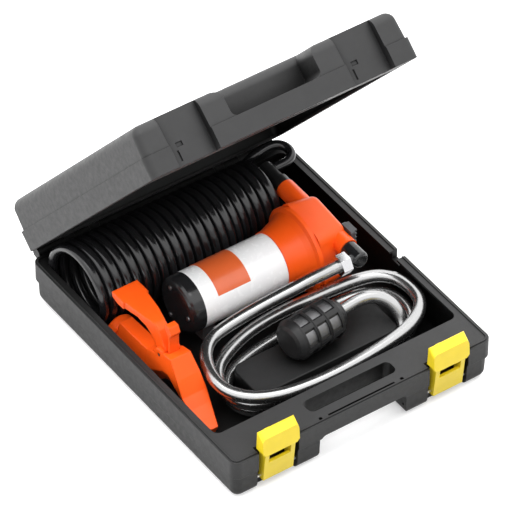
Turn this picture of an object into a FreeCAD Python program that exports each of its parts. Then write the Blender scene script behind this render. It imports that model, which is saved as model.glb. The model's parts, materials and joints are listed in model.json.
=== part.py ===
import FreeCAD, Part
import math
import os
import Sketcher

# A boat wash-down pump kit in its carry case: an electric diaphragm pump, a coiled hose,
# a spray gun, a suction hose and a strainer, packed in a case with a hinged lid and two latches.
# Millimetres. X runs along the case's front from left to right, Y to its back, Z up.
# The origin is the middle of the case's underside.

V = FreeCAD.Vector
doc = FreeCAD.newDocument("washdown_pump_kit")
sheet = doc.addObject("Spreadsheet::Sheet", "Sizes")
sheet_rows = []
parts = {}


# Sizes: each has a value and the sheet formula that it comes from

class Size:
    def __init__(self, value, formula):
        self.value = value
        self.formula = formula

    def __float__(self):
        return float(self.value)

    def __neg__(self):
        return Size(-self.value, "(-%s)" % self.formula)

    def __add__(self, other):
        return Size(self.value + float(other), "(%s + %s)" % (self.formula, formula_of(other)))

    def __radd__(self, other):
        return self + other

    def __sub__(self, other):
        return Size(self.value - float(other), "(%s - %s)" % (self.formula, formula_of(other)))

    def __rsub__(self, other):
        return -self + other

    def __mul__(self, other):
        return Size(self.value * float(other), "(%s * %s)" % (self.formula, formula_of(other)))

    def __rmul__(self, other):
        return self * other

    def __truediv__(self, other):
        return Size(self.value / float(other), "(%s / %s)" % (self.formula, formula_of(other)))


def formula_of(item):
    return item.formula if isinstance(item, Size) else "(%r)" % float(item)


def size(alias, value):
    sheet_rows.append(alias)
    row = len(sheet_rows)
    sheet.set("A%d" % row, alias)
    sheet.set("B%d" % row, str(value))
    sheet.setAlias("B%d" % row, alias)
    return Size(value, "Sizes." + alias)


def bind(item, prop, value):
    if isinstance(value, Size):
        item.setExpression(prop, value.formula)


# Carry case
case_width = size("case_width", 340)
case_depth = size("case_depth", 390)
base_height = size("base_height", 56)
lid_height = size("lid_height", 58)
rim_gap = size("rim_gap", 0.4)
case_corner = size("case_corner", 10)
case_edge = size("case_edge", 11)
case_skin = size("case_skin", 3)
case_floor = size("case_floor", 4)
band_height = size("band_height", 24)
band_step = size("band_step", 2)
case_draft = size("case_draft", 2.5)
rim_width = size("rim_width", 11)
rim_flange = size("rim_flange", 3)
rim_round = size("rim_round", 8)
room_round = size("room_round", 7)
draft_room = size("draft_room", 2)
ledge_depth = size("ledge_depth", 50)
bead_inset = size("bead_inset", 2.5)
bead_width = size("bead_width", 1.5)
bead_height = size("bead_height", 1.2)
bead_clearance = size("bead_clearance", 0.5)
grip_width = size("grip_width", 114)
grip_depth = size("grip_depth", 45)
grip_wall = size("grip_wall", 4)
grip_round = size("grip_round", 7)
handle_bar = size("handle_bar", 19)
handle_height_base = size("handle_height_base", 21)
handle_height_lid = size("handle_height_lid", 24)
hand_slot = size("hand_slot", 19)
notch_width = size("notch_width", 14)
notch_deep = size("notch_deep", 12)
notch_place = size("notch_place", -27)

# Moulded block on the case floor, under the strainer
block_left = size("block_left", -72)
block_right = size("block_right", 116)
block_front = size("block_front", -102)
block_back = size("block_back", -46)
block_top = size("block_top", 30)
block_round = size("block_round", 12)
block_edge = size("block_edge", 2)

# Hinges
hinge_spread = size("hinge_spread", 100)
hinge_offset = size("hinge_offset", 9)
hinge_drop = size("hinge_drop", 3)
knuckle_radius = size("knuckle_radius", 7)
lid_knuckle = size("lid_knuckle", 20)
base_knuckle = size("base_knuckle", 12)
knuckle_gap = size("knuckle_gap", 0.4)
web_overlap = size("web_overlap", 1.6)
rail_end = size("rail_end", 158)
pin_radius = size("pin_radius", 2)
pin_clearance = size("pin_clearance", 0.06)
lid_open = size("lid_open", 49.6)

# Latches
latch_spread = size("latch_spread", 112)
bar_groove = size("bar_groove", 87)
bar_mark_in = size("bar_mark_in", 6.5)
recess_slot_place = size("recess_slot_place", 15)
recess_slot_width = size("recess_slot_width", 2.2)
recess_slot_length = size("recess_slot_length", 12)
latch_recess = size("latch_recess", 52)
latch_recess_deep = size("latch_recess_deep", 12)
latch_width = size("latch_width", 39)
latch_flap = size("latch_flap", 47)
latch_pin_up = size("latch_pin_up", 15)
latch_pin_in = size("latch_pin_in", 4.2)
latch_barrel = size("latch_barrel", 3.8)
latch_pin_radius = size("latch_pin_radius", 1.5)
latch_fold = size("latch_fold", 38)
latch_length = size("latch_length", 68.5)
latch_thick = size("latch_thick", 10)
latch_hook_up = size("latch_hook_up", 64)
latch_hook_deep = size("latch_hook_deep", 1.9)
latch_lean = size("latch_lean", 3)
latch_wall = size("latch_wall", 3)
window_wide = size("window_wide", 28)
window_tall = size("window_tall", 12)
hook_place = size("hook_place", 10)
hook_width = size("hook_width", 6)
hook_half = size("hook_half", 1.6)
hook_room = size("hook_room", 1)

# Pump: its axis lies along X
pump_y = size("pump_y", 43)
pump_z = size("pump_z", 55)
can_radius = size("can_radius", 34)
can_wall = size("can_wall", 1.6)
can_left = size("can_left", -63.7)
can_right = size("can_right", 44.7)
can_front_wall = size("can_front_wall", 3)
end_cap_length = size("end_cap_length", 17.7)
end_cap_wall = size("end_cap_wall", 2.5)
label_left = size("label_left", -45)
label_right = size("label_right", -2.3)
label_thick = size("label_thick", 0.3)
label_front = size("label_front", 33)
label_back = size("label_back", 20)
magnet_thick = size("magnet_thick", 6)
magnet_length = size("magnet_length", 78)
air_gap = size("air_gap", 0.6)
armature_length = size("armature_length", 72)
commutator_radius = size("commutator_radius", 11)
commutator_length = size("commutator_length", 14)
shaft_radius = size("shaft_radius", 3)
shaft_fit = size("shaft_fit", 0.05)
bearing_radius = size("bearing_radius", 9.5)
bearing_width = size("bearing_width", 6)
seat_fit = size("seat_fit", 0.05)
brush_width = size("brush_width", 6)
housing_length = size("housing_length", 37.3)
flange_radius = size("flange_radius", 50.7)
housing_wall = size("housing_wall", 3)
seam_gap = size("seam_gap", 0.3)
diaphragm_thick = size("diaphragm_thick", 1.4)
head_radius = size("head_radius", 53)
head_length = size("head_length", 39)
head_draft = size("head_draft", 7)
head_corner = size("head_corner", 14)
head_edge = size("head_edge", 7)
head_wall = size("head_wall", 4)
port_x = size("port_x", 112)
port_up = size("port_up", 23)
port_radius = size("port_radius", 11.5)
port_bore = size("port_bore", 6)
outlet_reach = size("outlet_reach", 69)
inlet_reach = size("inlet_reach", 51)
tilt = size("tilt", 3)
hub_length = size("hub_length", 15)
hub_radius = size("hub_radius", 9)
stub_length = size("stub_length", 12)
stub_radius = size("stub_radius", 5)
wobble_radius = size("wobble_radius", 28)
wobble_thick = size("wobble_thick", 4)
foot_length = size("foot_length", 16)
foot_width = size("foot_width", 34)
foot_place = size("foot_place", -50)
switch_width = size("switch_width", 20)
switch_length = size("switch_length", 9)
switch_y = size("switch_y", -33)
switch_up = size("switch_up", 25)

# Fittings and hoses
elbow_radius = size("elbow_radius", 10)
elbow_neck = size("elbow_neck", 6.5)
nut_flats = size("nut_flats", 22)
nut_length = size("nut_length", 12)
inlet_turn = size("inlet_turn", 17)
outlet_turn = size("outlet_turn", 34)
nut_right = size("nut_right", 98)
recoil_start = size("recoil_start", 121.3)
suction_diameter = size("suction_diameter", 15)
recoil_diameter = size("recoil_diameter", 10.8)
coil_y = size("coil_y", 131.7)
coil_z = size("coil_z", 54.7)
coil_radius = size("coil_radius", 45.2)
coil_pitch = size("coil_pitch", 11.45)
coil_left = size("coil_left", -152)
coil_turns = 22
squeeze_left = size("squeeze_left", 6)
squeeze_right = size("squeeze_right", 68)
squeeze_narrow = size("squeeze_narrow", 6.4)
squeeze_back = size("squeeze_back", 7.6)
stub_shift = size("stub_shift", 1.3)
end_fitting_radius = size("end_fitting_radius", 6.3)
end_fitting_length = size("end_fitting_length", 17)

# Strainer
strainer_radius = size("strainer_radius", 24.5)
strainer_wall = size("strainer_wall", 2.4)
strainer_x = size("strainer_x", 20)
strainer_y = size("strainer_y", -69)
strainer_yaw = size("strainer_yaw", 7)
cage_length = size("cage_length", 52)
cage_gap = size("cage_gap", 0.3)
window_rings = 3
windows_round = 6
window_length = size("window_length", 13.6)
window_width = size("window_width", 19)
mesh_thick = size("mesh_thick", 0.8)
strainer_cap_length = size("strainer_cap_length", 9)
collar_length = size("collar_length", 12)

# Spray gun: its middle plane is upright
gun_side = size("gun_side", 39)
gun_pin_radius = size("gun_pin_radius", 2)
gun_pivot_y = size("gun_pivot_y", -14)
gun_pivot_z = size("gun_pivot_z", 62)
gun_ear = size("gun_ear", 8)
gun_slot = size("gun_slot", 14)
lever_root = size("lever_root", 13)
lever_plate = size("lever_plate", 33)
lever_neck = size("lever_neck", 22)
gun_bore = size("gun_bore", 5)
handle_radius = size("handle_radius", 12.5)
coupling_radius = size("coupling_radius", 17.7)
coupling_length = size("coupling_length", 14)
gun_axis_z = size("gun_axis_z", 22)
gun_rear = size("gun_rear", 82)
catch_thick = size("catch_thick", 3.4)
catch_height = size("catch_height", 51)
doc.recompute()

# Places worked out from the sizes
half_width = case_width / 2
gun_x = gun_side - half_width
half_depth = case_depth / 2
hinge_y = half_depth + hinge_offset
hinge_z = base_height - hinge_drop
closed_height = base_height + rim_gap + lid_height
recess_face = -half_depth + latch_recess_deep
latch_pin_y = recess_face - latch_pin_in
flange_right = can_right + housing_length
head_left = flange_right + seam_gap
port_z = pump_z + port_up


# Bodies, sketches and features

def new_body(name):
    body = doc.addObject("PartDesign::Body", name)
    body.Label = name
    parts[name] = body
    return body


def origin_plane(body, role):
    for feature in body.Origin.OriginFeatures:
        if feature.Role == role:
            return feature
    raise ValueError(role)


def new_sketch(body, role, shift=0.0):
    sketch = body.newObject("Sketcher::SketchObject", "Sketch")
    sketch.AttachmentSupport = [(origin_plane(body, role), "")]
    sketch.MapMode = "FlatFace"
    sketch.AttachmentOffset = FreeCAD.Placement(V(0, 0, float(shift)), FreeCAD.Rotation())
    bind(sketch, "AttachmentOffset.Base.z", shift)
    return sketch


def tie_one(sketch, kind, item, end, value):
    if float(value) == 0.0:
        axis = -2 if kind == "DistanceX" else -1
        sketch.addConstraint(Sketcher.Constraint("PointOnObject", item, end, axis))
    else:
        number = sketch.addConstraint(Sketcher.Constraint(kind, -1, 1, item, end, float(value)))
        bind(sketch, "Constraints[%d]" % number, value)


def tie(sketch, item, end, across, along):
    tie_one(sketch, "DistanceX", item, end, across)
    tie_one(sketch, "DistanceY", item, end, along)


def polygon(sketch, points):
    first = sketch.GeometryCount
    count = len(points)
    corners = [V(float(a), float(b), 0) for a, b in points]
    for i in range(count):
        sketch.addGeometry(Part.LineSegment(corners[i], corners[(i + 1) % count]), False)
    for i in range(count):
        sketch.addConstraint(
            Sketcher.Constraint("Coincident", first + i, 2, first + (i + 1) % count, 1))
    for i in range(count):
        tie(sketch, first + i, 1, points[i][0], points[i][1])


def rectangle(sketch, left, right, low, high):
    polygon(sketch, [(left, low), (right, low), (right, high), (left, high)])


def rounded(sketch, left, right, low, high, radius):
    # a rectangle whose four corners are tangent arcs of one radius
    first = sketch.GeometryCount
    a, b, c, d, r = [float(value) for value in (left, right, low, high, radius)]
    ends = [(a + r, c), (b - r, c), (b, c + r), (b, d - r),
            (b - r, d), (a + r, d), (a, d - r), (a, c + r)]
    for i in range(4):
        start, stop = ends[2 * i], ends[2 * i + 1]
        sketch.addGeometry(Part.LineSegment(V(*start, 0), V(*stop, 0)), False)
    for i, (x, y) in enumerate([(b - r, c + r), (b - r, d - r), (a + r, d - r), (a + r, c + r)]):
        turn = math.pi / 2 * (i - 1)
        sketch.addGeometry(Part.ArcOfCircle(
            Part.Circle(V(x, y, 0), V(0, 0, 1), r), turn, turn + math.pi / 2), False)
    for i in range(4):
        line, arc, after = first + i, first + 4 + i, first + (i + 1) % 4
        sketch.addConstraint(Sketcher.Constraint("Tangent", line, 2, arc, 1))
        sketch.addConstraint(Sketcher.Constraint("Tangent", arc, 2, after, 1))
        sketch.addConstraint(Sketcher.Constraint(("Horizontal", "Vertical")[i % 2], line))
        if i:
            sketch.addConstraint(Sketcher.Constraint("Equal", first + 4, arc))
    number = sketch.addConstraint(Sketcher.Constraint("Radius", first + 4, r))
    bind(sketch, "Constraints[%d]" % number, radius)
    tie_one(sketch, "DistanceY", first, 1, low)
    tie_one(sketch, "DistanceX", first + 1, 1, right)
    tie_one(sketch, "DistanceY", first + 2, 1, high)
    tie_one(sketch, "DistanceX", first + 3, 1, left)


def circle(sketch, across, along, radius):
    round_edge = Part.Circle(V(float(across), float(along), 0), V(0, 0, 1), float(radius))
    item = sketch.addGeometry(round_edge, False)
    tie(sketch, item, 3, across, along)
    number = sketch.addConstraint(Sketcher.Constraint("Radius", item, float(radius)))
    bind(sketch, "Constraints[%d]" % number, radius)


def extrude(kind, body, sketch, length, both=False, flip=False, taper=0.0):
    feature = body.newObject("PartDesign::" + kind, kind)
    feature.Profile = sketch
    feature.Length = float(length)
    bind(feature, "Length", length)
    feature.SideType = "Symmetric" if both else "One side"
    feature.Reversed = flip
    if float(taper):
        feature.TaperAngle = float(taper)
        bind(feature, "TaperAngle", taper)
    return feature


def pad(body, sketch, length, both=False, flip=False, taper=0.0):
    return extrude("Pad", body, sketch, length, both, flip, taper)


def pocket(body, sketch, length, both=False, flip=False, taper=0.0):
    return extrude("Pocket", body, sketch, length, both, flip, taper)


def round_edges(body, radius, wanted, kind="Fillet"):
    doc.recompute()
    base = body.Tip
    names = ["Edge%d" % (i + 1) for i, edge in enumerate(base.Shape.Edges) if wanted(edge)]
    if not names:
        raise ValueError("no edge to round on " + body.Label)
    feature = body.newObject("PartDesign::" + kind, kind)
    feature.Base = (base, names)
    prop = "Radius" if kind == "Fillet" else "Size"
    setattr(feature, prop, float(radius))
    bind(feature, prop, radius)
    doc.recompute()
    return feature


def revolve(body, points, angle=360.0, middle=False, sketch=None):
    sketch = sketch or new_sketch(body, "XY_Plane")
    polygon(sketch, points)
    feature = body.newObject("PartDesign::Revolution", "Revolution")
    feature.Profile = sketch
    feature.ReferenceAxis = (sketch, ["H_Axis"])
    feature.Angle = float(angle)
    bind(feature, "Angle", angle)
    feature.Midplane = middle
    return feature


def turned(name, points, place=None):
    # a round piece: points are (place along the axis, radius)
    body = new_body(name)
    revolve(body, points)
    if place:
        body.Placement = place
    return body


def tube_points(left, right, inner, outer):
    return [(left, inner), (right, inner), (right, outer), (left, outer)]


def at(x, y, z, rotation=None):
    return FreeCAD.Placement(V(float(x), float(y), float(z)), rotation or FreeCAD.Rotation())


def near(value, target, slack=0.2):
    return abs(value - float(target)) < slack


def is_upright(edge):
    a, b = edge.Vertexes[0].Point, edge.Vertexes[-1].Point
    return math.hypot(a.x - b.x, a.y - b.y) < 0.2 * abs(a.z - b.z)


def is_along(edge, axis):
    if len(edge.Vertexes) < 2:
        return False
    step = edge.Vertexes[-1].Point - edge.Vertexes[0].Point
    return step.Length > 0 and abs(step.dot(axis)) > 0.999 * step.Length


PUMP_AXIS = at(0, pump_y, pump_z)
X_AXIS, Y_AXIS, Z_AXIS = V(1, 0, 0), V(0, 1, 0), V(0, 0, 1)


# Case halves: both are trays, and the lid is turned over

def tray(name, height, bar_height, hinge_level, bead):
    body = new_body(name)
    band = height - band_height
    recess_top = height - bar_height
    above = height + bead_height + 1
    grip_back = -half_depth + grip_depth

    low = new_sketch(body, "XY_Plane", band)
    rounded(low, -half_width + band_step, half_width - band_step,
            -half_depth + band_step, half_depth - band_step, case_corner)
    pad(body, low, band, flip=True, taper=-case_draft)
    high = new_sketch(body, "XY_Plane", band)
    rounded(high, -half_width, half_width, -half_depth, half_depth, case_corner)
    pad(body, high, band_height)

    grip = new_sketch(body, "XZ_Plane", half_depth + 1)
    rounded(grip, -grip_width / 2, grip_width / 2, -2 * grip_round, recess_top, grip_round)
    pocket(body, grip, grip_depth + 1)
    round_edges(body, case_edge, lambda e: near(e.CenterOfMass.z, 0, 0.01))

    ring_sizes = (bead_inset, bead_width, bead_height)
    if not bead:
        ring_sizes = (bead_inset - bead_clearance, bead_width + 2 * bead_clearance,
                      bead_height + bead_clearance)
    ring_inset, ring_width, ring_height = ring_sizes
    ring = new_sketch(body, "XY_Plane", height if bead else height - ring_height)
    for inset in (ring_inset, ring_inset + ring_width):
        rounded(ring, -half_width + inset, half_width - inset,
                -half_depth + inset, half_depth - inset, case_corner - inset)
    if bead:
        pad(body, ring, ring_height)
    else:
        pocket(body, ring, ring_height + 1, flip=True)

    slots = new_sketch(body, "XY_Plane", above)
    for side in (-1, 1):
        middle = latch_spread * side
        rectangle(slots, middle - latch_recess / 2, middle + latch_recess / 2,
                  -half_depth - 1, recess_face)
    pocket(body, slots, above + 1)
    hand = new_sketch(body, "XY_Plane", above)
    rounded(hand, -grip_width / 2, grip_width / 2,
            -half_depth + handle_bar, -half_depth + handle_bar + hand_slot, grip_round)
    pocket(body, hand, above - recess_top + 1)

    mouth = new_sketch(body, "XY_Plane", above)
    rounded(mouth, -half_width + rim_width, half_width - rim_width,
            -half_depth + ledge_depth, half_depth - rim_width, rim_round)
    pocket(body, mouth, above - height + rim_flange)
    inner_side = half_width - band_step - case_skin - draft_room
    inner_back = half_depth - band_step - case_skin - draft_room
    inner_front = recess_face + case_skin
    room = new_sketch(body, "XY_Plane", height - rim_flange)
    rounded(room, -inner_side, inner_side, -half_depth + ledge_depth, inner_back, room_round)
    pocket(body, room, height - rim_flange - case_floor)
    for side in (-1, 1):
        near_grip = (grip_width / 2 + grip_wall) * side
        far_side = inner_side * side
        left, right = (far_side, near_grip) if side < 0 else (near_grip, far_side)
        store = new_sketch(body, "XY_Plane", height - rim_flange)
        rounded(store, left, right, inner_front, grip_back + 3 * room_round, room_round)
        pocket(body, store, height - rim_flange - case_floor)

    barrel_low = hinge_level - knuckle_radius
    for side in (-1, 1):
        for start, length in knuckles(side, bead):
            web = new_sketch(body, "YZ_Plane", start)
            polygon(web, [(half_depth - web_overlap, barrel_low - 2), (hinge_y, barrel_low),
                          (hinge_y, height), (half_depth - web_overlap, height)])
            pad(body, web, length)
            barrel = new_sketch(body, "YZ_Plane", start)
            circle(barrel, hinge_y, hinge_level, knuckle_radius)
            pad(body, barrel, length)
            hole = new_sketch(body, "YZ_Plane", start - 1)
            circle(hole, hinge_y, hinge_level, pin_radius + pin_clearance)
            pocket(body, hole, length + 2, flip=True)
    return body


def knuckles(side, outer):
    middle = hinge_spread * side
    if not outer:
        return [(middle - lid_knuckle / 2, lid_knuckle)]
    reach = lid_knuckle / 2 + knuckle_gap
    return [(middle - reach - base_knuckle, base_knuckle), (middle + reach, base_knuckle)]


def case_base():
    body = tray("case_base", base_height, handle_height_base, hinge_z, True)
    block = new_sketch(body, "XY_Plane", case_floor - 1)
    rounded(block, block_left, block_right, block_front, block_back, block_round)
    pad(body, block, block_top - case_floor + 1)
    round_edges(body, block_edge, lambda e: near(e.CenterOfMass.z, block_top, 0.01)
                and float(block_front) - 1 < e.CenterOfMass.y < float(block_back) + 1)
    # a fine groove along the handle's top, with a dimple past each end
    marks = new_sketch(body, "XY_Plane", base_height + 1)
    rectangle(marks, -bar_groove / 2, bar_groove / 2,
              -half_depth + bar_mark_in - 1.1, -half_depth + bar_mark_in + 1.1)
    for side in (-1, 1):
        circle(marks, side * (bar_groove / 2 + 10), -half_depth + bar_mark_in, 2.2)
    pocket(body, marks, 4)
    notch = new_sketch(body, "YZ_Plane", half_width + 1)
    rectangle(notch, notch_place - notch_width / 2, notch_place + notch_width / 2,
              base_height - notch_deep, base_height + bead_height + 1)
    pocket(body, notch, rim_width + 2)
    pins = new_sketch(body, "YZ_Plane", latch_spread + latch_recess / 2 + 4)
    circle(pins, latch_pin_y, latch_pin_up, latch_pin_radius + pin_clearance)
    pocket(body, pins, 2 * latch_spread + latch_recess + 8)
    return body


def case_lid():
    body = tray("case_lid", lid_height, handle_height_lid,
                closed_height - hinge_z, False)
    # rails between the knuckles carry on the hinge's line and close the gap behind the rims
    level = closed_height - hinge_z
    inner = hinge_spread - lid_knuckle / 2 - 2 * knuckle_gap - base_knuckle
    outer = hinge_spread + lid_knuckle / 2 + 2 * knuckle_gap + base_knuckle
    for start, end in ((-rail_end, -outer), (-inner, inner), (outer, rail_end)):
        web = new_sketch(body, "YZ_Plane", start)
        polygon(web, [(half_depth - web_overlap, level - knuckle_radius - 2),
                      (hinge_y, level - knuckle_radius), (hinge_y, lid_height),
                      (half_depth - web_overlap, lid_height)])
        pad(body, web, end - start)
        rail = new_sketch(body, "YZ_Plane", start)
        circle(rail, hinge_y, level, knuckle_radius)
        pad(body, rail, end - start)
    hook_z = closed_height - latch_pin_up - latch_hook_up
    for side in (-1, 1):
        groove = new_sketch(body, "XZ_Plane", half_depth + 1)
        middle = latch_spread * side
        rectangle(groove, middle + hook_place - hook_width / 2 - hook_room,
                  middle + hook_place + hook_width / 2 + hook_room,
                  hook_z - hook_half - hook_room, hook_z + hook_half + hook_room)
        pocket(body, groove, latch_recess_deep + 1 + case_skin / 2)
        slot = new_sketch(body, "XZ_Plane", half_depth + 1)
        place = middle + recess_slot_place
        rectangle(slot, place - recess_slot_width / 2, place + recess_slot_width / 2,
                  lid_height - recess_slot_length - 5, lid_height - 5)
        pocket(body, slot, latch_recess_deep + 1 + case_skin / 2)
    turned_over = at(0, 0, closed_height, FreeCAD.Rotation(Y_AXIS, 180))
    hinge = at(0, hinge_y, hinge_z)
    opened = at(0, 0, 0, FreeCAD.Rotation(-X_AXIS, float(lid_open)))
    body.Placement = hinge * opened * hinge.inverse() * turned_over
    return body


def pin(name, radius, length, place):
    return turned(name, [(-length / 2, 0), (length / 2, 0), (length / 2, radius),
                         (-length / 2, radius)], place)


def hinge_pins():
    length = lid_knuckle + 2 * knuckle_gap + 2 * base_knuckle
    for side, word in ((-1, "left"), (1, "right")):
        pin("hinge_pin_" + word, pin_radius, length, at(hinge_spread * side, hinge_y, hinge_z))


def latches():
    # the profile's zero is the pin: across is toward the back, along is up
    back = latch_pin_in - 1.2
    front = back - latch_thick
    for side, word in ((-1, "left"), (1, "right")):
        body = new_body("latch_" + word)
        plate = new_sketch(body, "YZ_Plane")
        polygon(plate, [(back, 0), (back, latch_fold + 2), (front - 1.8, latch_fold + 2),
                        (front + 0.6, -latch_barrel + 0.4), (-2, -latch_barrel)])
        pad(body, plate, latch_width, both=True)
        flap = new_sketch(body, "YZ_Plane")
        polygon(flap, [(back, latch_fold), (back, latch_length - 2.5), (back - 3, latch_length),
                       (front - 0.8, latch_length - 6), (front - 4, latch_fold + 0.5)])
        pad(body, flap, latch_flap, both=True)
        round_edges(body, 3.4, lambda e: is_along(e, Y_AXIS)
                    and near(e.CenterOfMass.z, latch_fold + 0.25, 0.6)
                    and near(abs(e.CenterOfMass.x), latch_flap / 2), "Chamfer")
        round_edges(body, 5, lambda e: near(abs(e.CenterOfMass.x), latch_flap / 2)
                    and near(e.CenterOfMass.z, latch_length - 3, 1.2)
                    and not is_upright(e) and e.Length > 5)
        barrel = new_sketch(body, "YZ_Plane")
        circle(barrel, 0, 0, latch_barrel)
        pad(body, barrel, latch_width, both=True)
        hole = new_sketch(body, "YZ_Plane")
        circle(hole, 0, 0, latch_pin_radius + pin_clearance)
        pocket(body, hole, latch_width + 2, both=True)
        window = new_sketch(body, "XZ_Plane", latch_thick + 4)
        rectangle(window, -window_wide / 2, window_wide / 2,
                  latch_fold - window_tall - 2.5, latch_fold - 2.5)
        pocket(body, window, latch_thick + 8)
        hollow = new_sketch(body, "XZ_Plane", -(front + latch_wall))
        rectangle(hollow, -window_wide / 2, window_wide / 2, latch_barrel + 1.2, latch_fold - 2.5)
        pocket(body, hollow, latch_thick)
        grooves = new_sketch(body, "XZ_Plane", latch_thick + 4)
        for i in range(4):
            rectangle(grooves, -window_wide / 2, window_wide / 2, 3.5 + 5 * i, 6 + 5 * i)
        pocket(body, grooves, 6.4)
        hook = new_sketch(body, "YZ_Plane", -hook_place)
        polygon(hook, [(back - 0.5, latch_hook_up - hook_half),
                       (back + latch_hook_deep, latch_hook_up),
                       (back - 0.5, latch_hook_up + hook_half)])
        pad(body, hook, hook_width, both=True)
        body.Placement = at(latch_spread * side, latch_pin_y, latch_pin_up,
                            FreeCAD.Rotation(X_AXIS, float(latch_lean)))
        pin("latch_pin_" + word, latch_pin_radius, latch_recess + 6,
            at(latch_spread * side, latch_pin_y, latch_pin_up))


# Pump: most of its pieces are round about the pump's axis, with X measured as in the case

def motor():
    can_inner = can_radius - can_wall
    front_wall = can_right - can_front_wall
    seat = bearing_radius + seat_fit
    front_seat = front_wall - bearing_width
    turned("motor_can", [
        (can_left, can_inner), (front_wall, can_inner), (front_wall, seat + 2),
        (front_seat, seat + 2), (front_seat, seat), (front_wall, seat),
        (front_wall, shaft_radius + 2), (can_right, shaft_radius + 2),
        (can_right, can_radius), (can_left, can_radius)], PUMP_AXIS)
    label = new_body("motor_label")
    around = 180 - label_front - label_back
    inner = can_radius + label_thick / 6
    revolve(label, tube_points(label_left, label_right, inner, inner + label_thick), around)
    label.Placement = at(0, pump_y, pump_z, FreeCAD.Rotation(X_AXIS, float(label_back)))

    cap_left = can_left - end_cap_length
    wall = end_cap_wall
    seat_left = cap_left + wall + 1
    turned("motor_end_cap", [
        (cap_left, 0), (cap_left, can_radius - 9), (cap_left + 0.7, can_radius - 5.5),
        (cap_left + 2.4, can_radius - 2.8), (cap_left + 5, can_radius - 0.9),
        (cap_left + 8, can_radius), (can_left, can_radius), (can_left, can_inner - wall),
        (cap_left + 7, can_inner - wall), (cap_left + wall + 1, can_radius - 9),
        (cap_left + wall + 1, seat + 2), (seat_left + bearing_width, seat + 2),
        (seat_left + bearing_width, seat), (seat_left, seat), (seat_left, 0)], PUMP_AXIS)
    for word, left in (("rear", seat_left), ("front", front_seat)):
        turned("motor_bearing_" + word,
               tube_points(left, left + bearing_width, shaft_radius + shaft_fit, bearing_radius),
               PUMP_AXIS)

    armature_radius = can_inner - magnet_thick - air_gap - seat_fit
    armature_right = front_seat - 6
    armature_left = armature_right - armature_length
    magnets = new_body("motor_magnets")
    revolve(magnets, tube_points(armature_left - 3, armature_left - 3 + magnet_length,
                                 can_inner - magnet_thick, can_inner - seat_fit), 130, True)
    other = magnets.newObject("PartDesign::PolarPattern", "PolarPattern")
    other.Originals = [magnets.Tip]
    other.Axis = (origin_axis(magnets, "X_Axis"), [""])
    other.Occurrences = 2
    magnets.Tip = other
    magnets.Placement = PUMP_AXIS

    armature = new_body("motor_armature")
    bore = shaft_radius
    commutator_left = armature_left - commutator_length - 4
    revolve(armature, [
        (commutator_left, bore), (commutator_left, commutator_radius),
        (commutator_left + commutator_length, commutator_radius),
        (armature_left, armature_radius - 8), (armature_left, armature_radius),
        (armature_right, armature_radius), (armature_right, armature_radius - 8),
        (armature_right + 4, commutator_radius), (armature_right + 4, bore)])
    slot = new_sketch(armature, "YZ_Plane", armature_left - 1)
    rectangle(slot, -1.2, 1.2, armature_radius - 4, armature_radius + 1)
    slots = pocket(armature, slot, armature_length + 2, flip=True)
    ring = armature.newObject("PartDesign::PolarPattern", "PolarPattern")
    ring.Originals = [slots]
    ring.Axis = (origin_axis(armature, "X_Axis"), [""])
    ring.Occurrences = 12
    armature.Tip = ring
    armature.Placement = PUMP_AXIS

    shaft_end = can_right + housing_wall + 1 + hub_length - 2
    pin_like = [(seat_left + 0.5, 0), (shaft_end, 0), (shaft_end, shaft_radius),
                (seat_left + 0.5, shaft_radius)]
    turned("motor_shaft", pin_like, PUMP_AXIS)

    carrier_left = cap_left + 8
    carrier = new_body("brush_carrier")
    revolve(carrier, tube_points(carrier_left + 4, carrier_left + 6, bearing_radius + 3.5,
                                 can_inner - wall - 0.3))
    brushes = new_body("carbon_brushes")
    reach = commutator_left + commutator_length - 1
    for sign in (-1, 1):
        box = new_sketch(carrier, "YZ_Plane", carrier_left + 5)
        low, high = commutator_radius + 2, commutator_radius + 14
        if sign < 0:
            low, high = -high, -low
        rectangle(box, -brush_width / 2 - 1.2, brush_width / 2 + 1.2, low, high)
        pad(carrier, box, reach - carrier_left - 5, flip=False)
        hollow = new_sketch(carrier, "YZ_Plane", carrier_left + 6)
        rectangle(hollow, -brush_width / 2 - 0.1, brush_width / 2 + 0.1,
                  low - 1, high + 1)
        pocket(carrier, hollow, reach - carrier_left - 7, flip=True)
        block = new_sketch(brushes, "YZ_Plane", carrier_left + 6.2)
        low, high = commutator_radius + 0.3, commutator_radius + 12
        if sign < 0:
            low, high = -high, -low
        rectangle(block, -brush_width / 2, brush_width / 2, low, high)
        pad(brushes, block, reach - carrier_left - 7.4)
    carrier.Placement = PUMP_AXIS
    brushes.Placement = PUMP_AXIS

    screws = new_body("motor_end_cap_screws")
    for place in (60, 180, 300):
        turn = math.radians(place)
        head = new_sketch(screws, "YZ_Plane", cap_left + 0.9)
        circle(head, (can_radius - 11) * math.cos(turn), (can_radius - 11) * math.sin(turn), 2.6)
        pad(screws, head, 1.8, flip=True)
    screws.Placement = PUMP_AXIS
    cut_screw_seats(parts["motor_end_cap"], cap_left)

    foot = new_body("motor_foot")
    plan = new_sketch(foot, "XY_Plane", case_floor + seam_gap)
    rectangle(plan, foot_place - foot_length / 2, foot_place + foot_length / 2,
              pump_y - foot_width / 2, pump_y + foot_width / 2)
    pad(foot, plan, pump_z - can_radius - case_floor + 4)
    saddle = new_sketch(foot, "YZ_Plane", foot_place - foot_length)
    circle(saddle, pump_y, pump_z, can_radius + seam_gap)
    pocket(foot, saddle, 2 * foot_length, flip=True)


def cut_screw_seats(cap, cap_left):
    for place in (60, 180, 300):
        turn = math.radians(place)
        seat = new_sketch(cap, "YZ_Plane", cap_left - 1)
        circle(seat, (can_radius - 11) * math.cos(turn), (can_radius - 11) * math.sin(turn), 2.9)
        pocket(cap, seat, 2.2, flip=True)


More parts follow.
